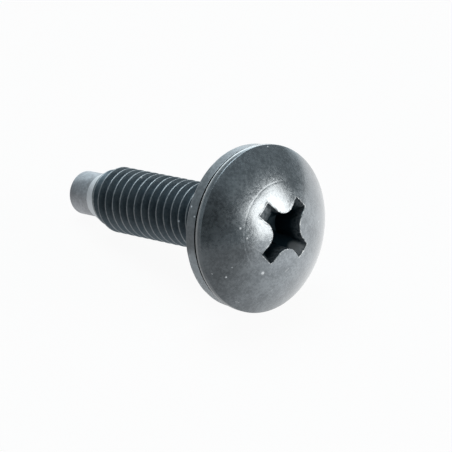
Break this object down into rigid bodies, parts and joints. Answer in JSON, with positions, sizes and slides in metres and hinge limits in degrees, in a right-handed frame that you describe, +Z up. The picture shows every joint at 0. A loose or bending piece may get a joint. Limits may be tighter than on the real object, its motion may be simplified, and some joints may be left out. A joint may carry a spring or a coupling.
{
  "type": "rack screw with captive washer",
  "caption": "Truss-head machine screw with cross recess, pilot point and a captive flat washer, for fixing equipment to a rack rail.",
  "frame": {"origin": "middle of the lying screw's box, on the surface that it lies on", "axes": "+X along the lying screw towards its head, +Z up"},
  "size_m": [0.0218, 0.0118, 0.0118],
  "materials": {
    "black_oxide": "satin black oxide",
    "washer_oxide": "matt black oxide"
  },
  "bodies": {
    "screw": {"screw": "black_oxide"},
    "washer": {"washer": "washer_oxide"}
  },
  "joints": [
    {"name": "washer_spin", "type": "hinge", "parent": "screw", "child": "washer", "pos_m": [0.00703, 0, 0.00572], "axis": [0.9726, 0, 0.2327], "continuous": true}
  ]
}
